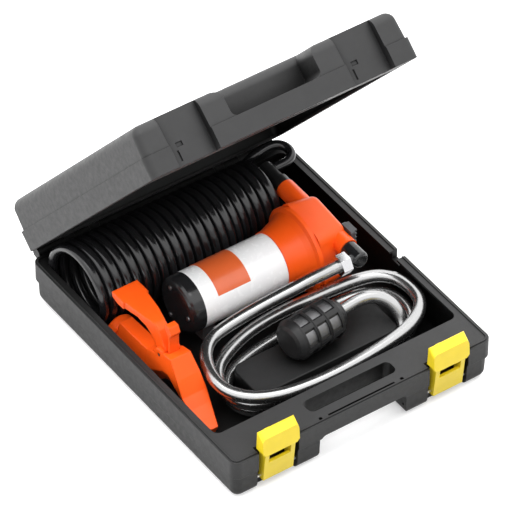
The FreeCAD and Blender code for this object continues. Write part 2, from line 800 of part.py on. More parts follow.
def origin_axis(body, role):
    for feature in body.Origin.OriginFeatures:
        if feature.Role == role:
            return feature
    raise ValueError(role)


def pump_housing():
    left, right, wall = can_right + seam_gap, flange_right, housing_wall
    throat = can_radius + 1.2
    turned("pump_lower_housing", [
        (left, bearing_radius), (left, throat), (left + 6, throat + 0.6),
        (left + 24, throat + 7), (right - 7, flange_radius - 4.5), (right - 5, flange_radius),
        (right, flange_radius), (right, flange_radius - 5), (right - 5, flange_radius - 7),
        (left + 24, throat + 7 - wall - 1), (left + 6, throat - wall),
        (left + wall, throat - wall - 1), (left + wall, bearing_radius)], PUMP_AXIS)

    # the crank hub turns with the shaft, and the wobble plate rides on its leaning end
    hub_left = can_right + wall + 1
    stub_left = hub_left + hub_length
    hub = new_body("drive_eccentric")
    revolve(hub, [(hub_left, shaft_radius), (hub_left, hub_radius), (stub_left, hub_radius),
                  (stub_left, shaft_radius)])
    leaning = new_sketch(hub, "XZ_Plane")
    leaning.AttachmentOffset = at(stub_left, 0, 0, FreeCAD.Rotation(Z_AXIS, -float(tilt)))
    bind(leaning, "AttachmentOffset.Base.x", stub_left)
    revolve(hub, [(-1, 0), (-1, stub_radius + 2.4), (2.6, stub_radius + 2.4),
                  (2.6, stub_radius), (stub_length, stub_radius), (stub_length, 0)],
            sketch=leaning)
    hub.Placement = PUMP_AXIS
    bore = stub_radius + shaft_fit
    turned("wobble_plate", [
        (2.9, bore), (2.9, 11), (5, wobble_radius), (5 + wobble_thick, wobble_radius),
        (5 + wobble_thick, 13), (stub_length, 11), (stub_length, bore)],
        at(stub_left, pump_y, pump_z, FreeCAD.Rotation(Y_AXIS, float(tilt))))

    # the diaphragm has a raised edge, which the head holds in the housing's mouth
    rim = flange_radius - 4
    edge = flange_radius - 6.8
    back = right - 3.2
    turned("diaphragm", [(back, 0), (back, rim - 16), (right - 1.6, rim - 12),
                         (right - 1.6, rim - 9), (back, rim - 6.5), (back, edge),
                         (right, edge), (right, edge - 3), (back + diaphragm_thick, edge - 3.4),
                         (back + diaphragm_thick, rim - 6.5),
                         (right, rim - 9), (right, rim - 12),
                         (back + diaphragm_thick, rim - 16),
                         (back + diaphragm_thick, 0)], PUMP_AXIS)


def pump_head():
    head = new_body("pump_head")
    outline = new_sketch(head, "YZ_Plane", head_left)
    corners = []
    sharp_radius = head_radius + head_corner * (1 / math.sin(math.radians(54)) - 1)
    for i in range(5):
        turn = math.radians(132 + 72 * i)
        corners.append((sharp_radius * math.cos(turn), sharp_radius * math.sin(turn)))
    polygon(outline, corners)
    pad(head, outline, head_length, taper=-head_draft)
    reach = head_radius - 12
    round_edges(head, head_corner, lambda e: abs(e.CenterOfMass.x - float(head_left)) > 10
                and abs(e.CenterOfMass.x - float(head_left + head_length)) > 10)
    round_edges(head, head_edge, lambda e: near(e.CenterOfMass.x, head_left + head_length, 0.01))
    sole = new_sketch(head, "XY_Plane", -flange_radius)
    rectangle(sole, head_left - 1, head_left + head_length + 1,
              -head_radius - 10, head_radius + 10)
    pocket(head, sole, head_radius)
    for start, length in ((-outlet_reach, outlet_reach - 20), (15, inlet_reach - 15)):
        port = new_sketch(head, "XZ_Plane", start)
        circle(port, port_x, port_up, port_radius)
        pad(head, port, length)
    chamber = new_sketch(head, "YZ_Plane", head_left - 1)
    circle(chamber, 0, 0, head_radius - head_wall - 9)
    pocket(head, chamber, head_length - head_wall - 3, flip=True)
    through = new_sketch(head, "XZ_Plane", -outlet_reach - 1)
    circle(through, port_x, port_up, port_bore)
    pocket(head, through, outlet_reach - 20, flip=True)
    back = new_sketch(head, "XZ_Plane", inlet_reach + 1)
    circle(back, port_x, port_up, port_bore)
    pocket(head, back, inlet_reach - 14)
    seat = new_sketch(head, "YZ_Plane", head_left + head_length + switch_length)
    rounded(seat, switch_y - switch_width / 2 - seam_gap, switch_y + switch_width / 2 + seam_gap,
            switch_up - switch_width / 2 - seam_gap, switch_up + switch_width / 2 + seam_gap, 3)
    pocket(head, seat, switch_length)
    head.Placement = PUMP_AXIS

    plate = new_body("valve_plate")
    plate_left = head_left + 3.2
    revolve(plate, [(plate_left, 0), (plate_left, reach - 2), (plate_left + 3, reach - 2),
                    (plate_left + 3, 0)])
    discs = new_body("valve_discs")
    for i in range(5):
        turn = math.radians(132 + 72 * i)
        y, z = 25 * math.cos(turn), 25 * math.sin(turn)
        hole = new_sketch(plate, "YZ_Plane", plate_left - 1)
        circle(hole, y, z, 3)
        pocket(plate, hole, 5, flip=True)
        disc = new_sketch(discs, "YZ_Plane", plate_left + 3.1)
        circle(disc, y, z, 7)
        pad(discs, disc, 1.2)
    plate.Placement = PUMP_AXIS
    discs.Placement = PUMP_AXIS


def pressure_switch():
    # its ribbed cover stands on the end of the head, toward the inlet
    body = new_body("pressure_switch")
    foot = new_sketch(body, "YZ_Plane", head_left + head_length + seam_gap)
    rounded(foot, switch_y - switch_width / 2, switch_y + switch_width / 2,
            switch_up - switch_width / 2, switch_up + switch_width / 2, 3)
    pad(body, foot, switch_length - 4)
    fins = new_sketch(body, "YZ_Plane", head_left + head_length + seam_gap + switch_length - 5)
    for i in range(4):
        low = switch_up - switch_width / 2 + 1 + i * (switch_width - 4) / 3
        rectangle(fins, switch_y - switch_width / 2 + 2, switch_y + switch_width / 2 - 2,
                  low, low + 2)
    pad(body, fins, 5)
    body.Placement = PUMP_AXIS


def fittings():
    # both elbows carry their hose along X: the inlet's to the left, the outlet's to the right
    inlet_y = pump_y - inlet_reach
    body = new_body("inlet_elbow")
    leg = new_sketch(body, "XZ_Plane", -inlet_y + seam_gap)
    circle(leg, port_x, port_z, elbow_radius)
    pad(body, leg, inlet_turn + elbow_radius - 2)
    neck = new_sketch(body, "YZ_Plane", nut_right + seam_gap)
    circle(neck, inlet_y - inlet_turn, port_z, elbow_neck)
    pad(body, neck, port_x - nut_right - seam_gap)
    round_edges(body, 4, lambda e: near(e.CenterOfMass.y, inlet_y - inlet_turn - elbow_radius
                                        + 2 - seam_gap, 0.05) and len(e.Vertexes) < 2)
    hexagon = new_body("hose_nut")
    plan = new_sketch(hexagon, "YZ_Plane", nut_right - nut_length)
    corners = []
    for i in range(6):
        turn = math.radians(60 * i)
        reach = nut_flats / 2 / math.cos(math.radians(30))
        corners.append((inlet_y - inlet_turn + reach * math.cos(turn),
                        port_z + reach * math.sin(turn)))
    polygon(plan, corners)
    pad(hexagon, plan, nut_length)

    outlet_y = pump_y + outlet_reach
    body = new_body("outlet_fitting")
    leg = new_sketch(body, "XZ_Plane", -outlet_y - outlet_turn - 6)
    circle(leg, port_x, port_z, elbow_radius - 1)
    pad(body, leg, outlet_turn + 6 - seam_gap)
    collar = new_sketch(body, "XZ_Plane", -outlet_y - 12)
    circle(collar, port_x, port_z, elbow_radius + 1)
    pad(body, collar, 12 - seam_gap)
    tail = new_sketch(body, "YZ_Plane", port_x)
    circle(tail, outlet_y + outlet_turn, port_z, recoil_diameter / 2)
    pad(body, tail, recoil_start - port_x)


# Hoses: smooth paths of arcs that meet with a common tangent

def arc_between(start, corner, end):
    # the arc that leaves start toward corner and arrives at end from corner
    to_corner = (corner - start).normalize()
    from_corner = (end - corner).normalize()
    turn = to_corner.getAngle(from_corner)
    if turn < 1e-6:
        return Part.LineSegment(start, end).toShape(), None
    radius = (corner - start).Length / math.tan(turn / 2)
    chord_middle = (start + end) * 0.5
    inward = (chord_middle - corner).normalize()
    middle = corner + inward * (radius / math.cos(turn / 2) - radius)
    return Part.Arc(start, middle, end).toShape(), radius


def biarc_path(nodes):
    # nodes are pairs of a point and a unit tangent, and two tangent arcs join each pair
    edges, radii = [], []
    for (p, tp), (q, tq) in zip(nodes, nodes[1:]):
        span = q - p
        if span.getAngle(tp) < 1e-6 and tp.getAngle(tq) < 1e-6:
            edges.append(Part.LineSegment(p, q).toShape())
            continue
        both = tp + tq
        bend = 2 * (1 - tp.dot(tq))
        reach = span.dot(both)
        if bend < 1e-9:
            step = span.dot(span) / (2 * reach)
        else:
            step = (math.sqrt(reach * reach + bend * span.dot(span)) - reach) / bend
        first, second = p + tp * step, q - tq * step
        joint = (first + second) * 0.5
        for piece in ((p, first, joint), (joint, second, q)):
            edge, radius = arc_between(*piece)
            edges.append(edge)
            if radius:
                radii.append(radius)
    return edges, radii


def least_gap(edges, diameter):
    # the least distance between stretches of one path that aren't neighbours, less the tube
    points, along, total = [], [], 0.0
    for edge in edges:
        count = max(2, int(edge.Length / 3))
        for point in edge.discretize(count)[:-1]:
            points.append(point)
        step = edge.Length / (count - 1)
        along += [total + step * i for i in range(count - 1)]
        total += edge.Length
    least = 1e9
    apart = 2.5 * diameter
    for i, p in enumerate(points):
        for j in range(i + 1, len(points)):
            if along[j] - along[i] > apart:
                q = points[j]
                if abs(p.x - q.x) < least and abs(p.y - q.y) < least and abs(p.z - q.z) < least:
                    least = min(least, p.distanceToPoint(q))
    return least - diameter


def hose(name, nodes, diameter):
    edges, radii = biarc_path(nodes)
    path = Part.Wire(edges)
    start, tangent = nodes[0]
    ring = Part.Wire(Part.Circle(start, tangent, float(diameter) / 2).toShape())
    tube = path.makePipeShell([ring], True, False)
    body = doc.addObject("Part::Feature", name)
    body.Label = name
    body.Shape = tube
    parts[name] = body
    length = sum(edge.Length for edge in edges)
    wanted = math.pi * float(diameter) ** 2 / 4 * length
    print("%s length %.1f, tightest radius %.1f, least gap to itself %.2f, volume ratio %.4f"
          % (name, length, min(radii), least_gap(edges, float(diameter)), tube.Volume / wanted))
    return body


def helix_node(angle, start_angle, left):
    # a point of the recoil hose's coil and its direction, at an angle from the back over the top
    step = 0.01
    before = coil_point(angle - step, start_angle, left)
    after = coil_point(angle + step, start_angle, left)
    return coil_point(angle, start_angle, left), (after - before).normalize()


def coil_point(angle, start_angle, left):
    # the coil's right end is pressed back and narrower, where it lies behind the pump's head
    turn = math.radians(angle)
    x = left + float(coil_pitch) * (angle - start_angle) / 360
    share = min(1.0, max(0.0, (x - float(squeeze_left)) / float(squeeze_right - squeeze_left)))
    press = share * share * (3 - 2 * share)
    radius = float(coil_radius) - float(squeeze_narrow) * press
    middle = float(coil_y) + float(squeeze_back) * press
    return V(x, middle + radius * math.cos(turn), float(coil_z) + radius * math.sin(turn))


def recoil_hose():
    start_angle, end_angle = 0, 360 * coil_turns + 30
    nodes = []
    first, direction = helix_node(start_angle, start_angle, float(coil_left - stub_shift))
    upward = V(0, 0, 1)
    tip = first - upward * float(recoil_diameter)
    nodes.append((tip, upward))
    nodes.append((first, upward))
    angle = start_angle + 90
    while angle < end_angle:
        nodes.append(helix_node(angle, start_angle, float(coil_left)))
        angle += 90
    nodes.append(helix_node(end_angle, start_angle, float(coil_left)))
    barb = V(float(recoil_start), float(pump_y + outlet_reach + outlet_turn), float(port_z))
    bend = barb + V(float(recoil_diameter), 0, 0)
    nodes.append((bend + V(-7, 6, 26.2), V(1, 0, 0)))
    nodes.append((bend + V(13, 3, 13.2), V(0, -0.2, -1).normalize()))
    nodes.append((bend, V(-1, 0, 0)))
    nodes.append((barb, V(-1, 0, 0)))
    hose("recoil_hose", nodes, recoil_diameter)
    place = FreeCAD.Placement(tip - upward * float(end_fitting_length),
                              FreeCAD.Rotation(X_AXIS, Z_AXIS))
    length, radius = end_fitting_length, end_fitting_radius
    turned("recoil_hose_end_fitting", [
        (0, radius - 2.6), (0, radius - 0.8), (0.8, radius), (6, radius), (6.6, radius - 1),
        (length - 6, radius - 1), (length - 5, radius), (length - 1, radius),
        (length, radius - 1), (length, 0), (length - 2, 0), (length - 2, radius - 2.6)], place)


def suction_hose():
    # from the pump's inlet three turns down on the case floor and up again to the strainer
    inlet_y = float(pump_y - inlet_reach - inlet_turn)
    nut_left = float(nut_right - nut_length)
    west, east, north = V(-1, 0, 0), V(1, 0, 0), V(0, 1, 0)
    layers = [43.2, 27.5, 11.8]
    nodes = [(V(nut_left, inlet_y, float(port_z)), west),
             (V(nut_left - 15, inlet_y, float(port_z)), west),
             (V(0, -19, 71), V(-1, 0, -0.2).normalize()),
             (V(-50, -19, 59), V(-1, 0, -0.2).normalize()),
             (V(-100, -70, 48), V(0, -1, -0.08).normalize()),
             (V(-50, -120, layers[0]), east),
             (V(100, -120, layers[0]), east),
             (V(149, -71, layers[0]), north),
             (V(104, -21, layers[0] - 1), west),
             (V(-48, -24, 35), V(-1, 0, -0.03).normalize()),
             (V(-96, -72, 30.9), V(0, -1, -0.06).normalize()),
             (V(-48, -120, layers[1]), east),
             (V(100, -120, layers[1]), east),
             (V(144, -78, layers[1]), north),
             (V(104, -36, layers[1] - 1), west),
             (V(-50, -36, 18), V(-1, 0, -0.03).normalize()),
             (V(-92, -78, 14), V(0, -1, -0.04).normalize()),
             (V(-50, -120, layers[2]), east),
             (V(86, -120, layers[2]), east),
             (V(127.5, -82, 22), V(0, 1, 0.75).normalize()),
             strainer_node(15), strainer_node(0)]
    hose("suction_hose", nodes, suction_diameter)


def strainer_node(out):
    # a point out from the collar's face, along the strainer's axis, heading into the strainer
    axis = STRAINER_AXIS.Rotation.multVec(X_AXIS)
    face = STRAINER_AXIS.multVec(V(float(cage_length / 2 + cage_gap + collar_length), 0, 0))
    return face + axis * out, -axis


def strainer():
    half, outer, wall = cage_length / 2, strainer_radius, strainer_wall
    body = new_body("strainer_body")
    revolve(body, tube_points(-half, half, outer - wall, outer))
    window = new_sketch(body, "XY_Plane", outer - wall - 1)
    step = cage_length / window_rings
    for i in range(window_rings):
        middle = step * (i - (window_rings - 1) / 2)
        rectangle(window, middle - window_length / 2, middle + window_length / 2,
                  -window_width / 2, window_width / 2)
    cut = pocket(body, window, wall + 3, flip=True)
    around = body.newObject("PartDesign::PolarPattern", "PolarPattern")
    around.Originals = [cut]
    around.Axis = (origin_axis(body, "X_Axis"), [""])
    around.Occurrences = windows_round
    body.Tip = around
    for i in (-1, 1):
        groove = new_sketch(body, "XY_Plane")
        place = step * i / 2
        polygon(groove, [(place - 1.6, outer + 0.5), (place, outer - 1.2), (place + 1.6, outer + 0.5)])
        ring = body.newObject("PartDesign::Groove", "Groove")
        ring.Profile = groove
        ring.ReferenceAxis = (groove, ["H_Axis"])
        ring.Angle = 360
    body.Placement = STRAINER_AXIS
    mesh = outer - wall - cage_gap
    turned("strainer_mesh", tube_points(-half + 0.2, half - 0.2, mesh - mesh_thick, mesh),
           STRAINER_AXIS)
    cap_right = -half - cage_gap
    cap_left = cap_right - strainer_cap_length
    turned("strainer_end_cap", [
        (cap_left, 0), (cap_left, outer - 8), (cap_left + 2, outer - 4), (cap_left + 6, outer - 1.5),
        (cap_right, outer), (cap_right, outer - wall), (cap_left + 6, outer - wall - 1.5),
        (cap_left + 3, outer - 8), (cap_left + 3, 0)], STRAINER_AXIS)
    left, right = half + cage_gap, half + cage_gap + collar_length
    bore = suction_diameter / 2 - 2
    turned("strainer_collar", [
        (left, bore), (left, outer - 0.5), (left + 2, outer - 0.5), (left + 3, outer - 3),
        (right - 6, outer - 5), (right - 3, outer - 8), (right, outer - 9), (right, bore)],
        STRAINER_AXIS)


# Spray gun

def gun_wire(top, bottom, wide_top, wide_middle, wide_bottom):
    # six-sided section across the gun between a point of its top and one of its underside
    middle = [(2 * a + 3 * b) / 5 for a, b in zip(top, bottom)]
    rows = [(top, wide_top), (middle, wide_middle), (bottom, wide_bottom)]
    left = [V(float(gun_x) - wide / 2, *place) for place, wide in rows]
    right = [V(float(gun_x) + wide / 2, *place) for place, wide in reversed(rows)]
    return Part.makePolygon(left + right + left[:1])


def gun():
    front_end = float(gun_rear - coupling_length)
    low = float(gun_axis_z)
    sections = [
        ((front_end, low + 22), (front_end, low - 13), 16, 27, 15),
        ((40, 45), (40, 8), 17, 27.5, 15),
        ((14, 47), (8, 9), 18, 27, 15),
        ((-6, 58), (-10, 20), 22, 27, 14),
        ((-24, 70), (-22, 30), 25, 28, 15),
        ((-38, 73), (-32, 33), 26, 29, 14),
        ((-53, 54), (-42, 30), 30, 28, 13),
        ((-64, 37), (-56, 24), 32, 26, 12),
        ((-75, 27), (-70, 15), 27, 22, 10),
        ((-88, 20), (-84, 8), 19, 15, 8),
        ((-102, 15.5), (-99, 6), 9, 8, 6)]
    solid = Part.makeLoft([gun_wire(*section) for section in sections], True, True)
    x, y, z = float(gun_x), float(gun_pivot_y), float(gun_pivot_z)
    half = float(lever_root) / 2 + 5.5
    ears = Part.makeCylinder(float(gun_ear), 2 * half, V(x - half, y, z), X_AXIS)
    solid = solid.fuse(ears)
    slot_half = float(gun_slot) / 2
    slot = Part.makeBox(2 * slot_half, 46, 60, V(x - slot_half, y - 13, z - float(gun_ear) - 2))
    solid = solid.cut(slot)
    pin_hole = Part.makeCylinder(float(gun_pin_radius + pin_clearance), 60, V(x - 30, y, z), X_AXIS)
    water_way = Part.makeCylinder(float(gun_bore), 62, V(x, front_end + 1, low), -Y_AXIS)
    solid = solid.cut(pin_hole).cut(water_way)
    body = doc.addObject("Part::Feature", "gun_body")
    body.Label = "gun_body"
    body.Shape = solid
    parts["gun_body"] = body

    turned("gun_inlet_coupling", [
        (0, gun_bore), (0, coupling_radius - 1.5), (1.5, coupling_radius),
        (coupling_length - 2, coupling_radius), (coupling_length - seam_gap, coupling_radius - 2),
        (coupling_length - seam_gap, gun_bore)],
        at(gun_x, gun_rear, gun_axis_z, FreeCAD.Rotation(X_AXIS, -Y_AXIS)))
    pin("gun_lever_pin", gun_pin_radius, 2 * half, at(gun_x, gun_pivot_y, gun_pivot_z))

    # the lever's profile, measured from its pivot
    lever = new_body("gun_lever")
    side = new_sketch(lever, "YZ_Plane")
    polygon(side, [(83, 31.5), (58, 32), (34, 32), (16, 31), (7, 27), (0, 17), (-6, 6),
                   (-4, -5), (5, -5), (12, 0), (20, 12), (28, 20), (40, 24.5), (56, 23),
                   (72, 22), (82, 25)])
    pad(lever, side, lever_plate, both=True)
    trim = new_sketch(lever, "XY_Plane", -20)
    for sign in (-1, 1):
        wide, neck, root = lever_plate / 2, lever_neck / 2, lever_root / 2
        points = [(wide + 2, 62), (wide - 2, 60), (neck, 34), (root, 14), (root, -12),
                  (wide + 2, -12)]
        polygon(trim, [(sign * a, b) for a, b in points])
    pocket(lever, trim, 80, flip=True)
    hole = new_sketch(lever, "YZ_Plane")
    circle(hole, 0, 0, gun_pin_radius + pin_clearance)
    pocket(lever, hole, lever_plate, both=True)
    lever.Placement = at(gun_x, gun_pivot_y, gun_pivot_z)

    # the catch stands in the front of the body's slot and leans back over the lever
    catch = new_body("gun_lever_catch")
    profile = new_sketch(catch, "YZ_Plane")
    polygon(profile, [(-catch_thick / 2, 0), (catch_thick / 2, 0),
                      (catch_thick / 2, catch_height - 14), (catch_thick / 2 + 5, catch_height - 7),
                      (catch_thick / 2 + 5, catch_height), (-catch_thick / 2 + 1, catch_height),
                      (-catch_thick / 2 - 3, catch_height - 8), (-catch_thick / 2, catch_height - 14)])
    pad(catch, profile, gun_slot - 2, both=True)
    barrel = new_sketch(catch, "YZ_Plane")
    circle(barrel, 0, 0, catch_thick / 2)
    pad(catch, barrel, gun_slot - 2, both=True)
    catch.Placement = at(gun_x, gun_pivot_y - 11, gun_pivot_z - gun_ear + 1.3)

    # the valve stem lies in the handle's bore, with its seal against the guide
    stem = new_body("gun_valve_stem")
    rod_left = handle_radius - 7
    revolve(stem, [(9, 0), (44, 0), (44, rod_left / 3), (9, rod_left / 3)])
    stem.Placement = at(gun_x, 0, gun_axis_z, FreeCAD.Rotation(X_AXIS, Y_AXIS))
    turned("gun_valve_seal", tube_points(18, 22, rod_left / 3, gun_bore - 0.4),
           at(gun_x, 0, gun_axis_z, FreeCAD.Rotation(X_AXIS, Y_AXIS)))
    turned("gun_valve_guide", tube_points(10, 17, rod_left / 3 + shaft_fit, gun_bore - 0.05),
           at(gun_x, 0, gun_axis_z, FreeCAD.Rotation(X_AXIS, Y_AXIS)))


STRAINER_AXIS = at(strainer_x, strainer_y, block_top + seam_gap + strainer_radius,
                   FreeCAD.Rotation(Z_AXIS, float(strainer_yaw)))
case_base()
case_lid()
hinge_pins()
latches()
motor()
pump_housing()
pump_head()
pressure_switch()
fittings()
recoil_hose()
suction_hose()
strainer()
gun()
doc.recompute()

# Checks, then one file for each sub-part
faults = [item.Name for item in doc.Objects if {"Invalid", "Error"} & set(item.State)]
for item in doc.Objects:
    if item.TypeId == "PartDesign::Pocket":
        if item.Shape.Volume > item.BaseFeature.Shape.Volume - 0.01:
            faults.append(item.Name + " cuts nothing")
for label, item in parts.items():
    if item.Shape.isNull() or not item.Shape.isValid():
        faults.append(label)
if faults:
    raise RuntimeError("faults: " + ", ".join(faults))
os.makedirs("parts", exist_ok=True)
for label, item in parts.items():
    item.Shape.exportStep("parts/%s.step" % label)
print(len(parts), "sub-parts written")
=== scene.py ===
import json
import math

import bmesh
import bpy
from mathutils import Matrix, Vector

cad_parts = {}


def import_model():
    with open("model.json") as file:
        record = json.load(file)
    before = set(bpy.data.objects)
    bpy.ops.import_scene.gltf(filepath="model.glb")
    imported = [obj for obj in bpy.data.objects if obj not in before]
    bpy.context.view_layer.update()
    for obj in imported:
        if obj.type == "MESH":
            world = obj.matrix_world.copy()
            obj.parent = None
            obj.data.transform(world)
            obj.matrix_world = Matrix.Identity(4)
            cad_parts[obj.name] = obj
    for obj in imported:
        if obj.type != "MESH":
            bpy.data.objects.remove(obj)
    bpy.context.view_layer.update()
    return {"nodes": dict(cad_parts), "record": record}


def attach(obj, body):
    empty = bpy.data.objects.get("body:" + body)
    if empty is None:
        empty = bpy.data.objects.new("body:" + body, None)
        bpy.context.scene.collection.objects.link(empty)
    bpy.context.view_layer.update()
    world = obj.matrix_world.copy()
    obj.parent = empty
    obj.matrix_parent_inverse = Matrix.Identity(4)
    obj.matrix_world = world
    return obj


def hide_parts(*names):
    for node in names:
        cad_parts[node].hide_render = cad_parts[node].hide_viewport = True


# A boat wash-down pump kit in its carry case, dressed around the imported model. Blender works in
# metres. Places and sizes here are in millimetres, and mm() turns them into metres.

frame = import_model()
nodes = frame["nodes"]
scene = bpy.context.scene
MM = 0.001


def mm(*values):
    return Vector(values) * MM


# Camera: fitted to the photographed case

CAMERA_AZIMUTH = math.radians(34.927)
CAMERA_ELEVATION = math.radians(42.883)
CAMERA_DISTANCE = 5.9827
CAMERA_LENS = 388.1
CAMERA_SENSOR = 36
CAMERA_REACH = 50
LOOK_AT = mm(35.82, 66.03, 56.0)


def add_camera():
    camera = bpy.data.objects.new("camera", bpy.data.cameras.new("camera"))
    scene.collection.objects.link(camera)
    back = Vector((-math.sin(CAMERA_AZIMUTH) * math.cos(CAMERA_ELEVATION),
                   -math.cos(CAMERA_AZIMUTH) * math.cos(CAMERA_ELEVATION),
                   math.sin(CAMERA_ELEVATION)))
    camera.location = LOOK_AT + back * CAMERA_DISTANCE
    camera.rotation_euler = back.to_track_quat("Z", "Y").to_euler()
    camera.data.lens = CAMERA_LENS
    camera.data.sensor_width = CAMERA_SENSOR
    camera.data.clip_end = CAMERA_REACH
    scene.camera = camera


add_camera()
scene.view_settings.view_transform = "Standard"


# Node helpers

# a mix node's sockets have the same names for numbers and colours, so they are told by number
NUMBER_A = 2
NUMBER_B = 3
COLOR_A = 6
COLOR_B = 7
COLOR_RESULT = 2


def new_material(name):
    material = bpy.data.materials.new(name)
    material.use_nodes = True
    return material, material.node_tree, material.node_tree.nodes["Principled BSDF"]


def link(tree, source, target):
    tree.links.new(source, target)


def noise(tree, scale, detail, stretch=None):
    # object coordinates are metres, so a scale of 1000 gives grains of about a millimetre
    coordinates = tree.nodes.new("ShaderNodeTexCoord")
    texture = tree.nodes.new("ShaderNodeTexNoise")
    texture.inputs["Scale"].default_value = scale
    texture.inputs["Detail"].default_value = detail
    source = coordinates.outputs["Object"]
    if stretch:
        mapping = tree.nodes.new("ShaderNodeMapping")
        mapping.inputs["Scale"].default_value = stretch
        link(tree, source, mapping.inputs["Vector"])
        source = mapping.outputs["Vector"]
    link(tree, source, texture.inputs["Vector"])
    return texture.outputs["Fac"]


def ramp(tree, source, low, high, start=0.3, end=0.7):
    node = tree.nodes.new("ShaderNodeMapRange")
    node.inputs["From Min"].default_value = start
    node.inputs["From Max"].default_value = end
    node.inputs["To Min"].default_value = low
    node.inputs["To Max"].default_value = high
    link(tree, source, node.inputs["Value"])
    return node.outputs["Result"]


def tint(tree, share, dark, light):
    node = tree.nodes.new("ShaderNodeMix")
    node.data_type = "RGBA"
    node.inputs[COLOR_A].default_value = (*dark, 1)
    node.inputs[COLOR_B].default_value = (*light, 1)
    link(tree, share, node.inputs[0])
    return node.outputs[COLOR_RESULT]


def shaded(tree, paint, shade):
    node = tree.nodes.new("ShaderNodeMix")
    node.data_type = "RGBA"
    node.blend_type = "MULTIPLY"
    node.inputs[0].default_value = 1.0
    link(tree, paint, node.inputs[COLOR_A])
    link(tree, shade, node.inputs[COLOR_B])
    return node.outputs[COLOR_RESULT]


def larger(tree, first, second):
    node = tree.nodes.new("ShaderNodeMath")
    node.operation = "MAXIMUM"
    link(tree, first, node.inputs[0])
    link(tree, second, node.inputs[1])
    return node.outputs[0]


# Materials

# the painted shade is darkest where the openness is under the first value, and none is painted
# over the second
HOLLOW_CLOSED = 0.42
HOLLOW_OPEN = 0.88
HOLLOW_DARKEST = 0.06
HOLLOW_SAMPLES = 16
EDGE_SAMPLES = 4
LEAST_ROUGHNESS = 0.02


def painted_hollow_shade(tree, reach):
    # painted shade: corners and deep places get a darker base colour, by how enclosed they are
    depth = tree.nodes.new("ShaderNodeAmbientOcclusion")
    depth.samples = HOLLOW_SAMPLES
    depth.inputs["Distance"].default_value = reach * MM
    return ramp(tree, depth.outputs["AO"], HOLLOW_DARKEST, 1.0, HOLLOW_CLOSED, HOLLOW_OPEN)


def rounded_edges(tree, radius):
    bevel = tree.nodes.new("ShaderNodeBevel")
    bevel.samples = EDGE_SAMPLES
    bevel.inputs["Radius"].default_value = radius * MM
    return bevel.outputs["Normal"]


def grainy(tree, height, depth, normal):
    bump = tree.nodes.new("ShaderNodeBump")
    bump.inputs["Strength"].default_value = 1.0
    bump.inputs["Distance"].default_value = depth * MM
    link(tree, height, bump.inputs["Height"])
    if normal:
        link(tree, normal, bump.inputs["Normal"])
    return bump.outputs["Normal"]


def surface(name, color, rough, spread=0.12, grain=0.0, grain_scale=2500, metal=0.0,
            spots=60, edge=0.0, coat=0.0, specular=0.5, stretch=None, rough_spread=0.06,
            index=1.5, coat_index=1.5, coat_rough=0.12, painted_shade_reach=0.0):
    # a moulded, painted or turned surface: slight mottling, uneven gloss and fine grain
    material, tree, shader = new_material(name)
    dark = [c * (1 - spread) for c in color]
    light = [min(1.0, c * (1 + spread)) for c in color]
    paint = tint(tree, ramp(tree, noise(tree, spots, 3.0, stretch), 0, 1), dark, light)
    # painted shade: with a reach given, the base colour is darkened in enclosed places, as shade
    # in the case's interior and recesses
    if painted_shade_reach:
        paint = shaded(tree, paint, painted_hollow_shade(tree, painted_shade_reach))
    link(tree, paint, shader.inputs["Base Color"])
    gloss = ramp(tree, noise(tree, spots * 3, 4.0, stretch),
                 max(LEAST_ROUGHNESS, rough - rough_spread), rough + rough_spread)
    link(tree, gloss, shader.inputs["Roughness"])
    shader.inputs["Metallic"].default_value = metal
    shader.inputs["Coat Weight"].default_value = coat
    shader.inputs["Coat Roughness"].default_value = coat_rough
    shader.inputs["Coat IOR"].default_value = coat_index
    shader.inputs["Specular IOR Level"].default_value = specular
    shader.inputs["IOR"].default_value = index
    normal = rounded_edges(tree, edge) if edge else None
    if grain:
        normal = grainy(tree, noise(tree, grain_scale, 2.0, stretch), grain, normal)
    if normal:
        link(tree, normal, shader.inputs["Normal"])
    return material


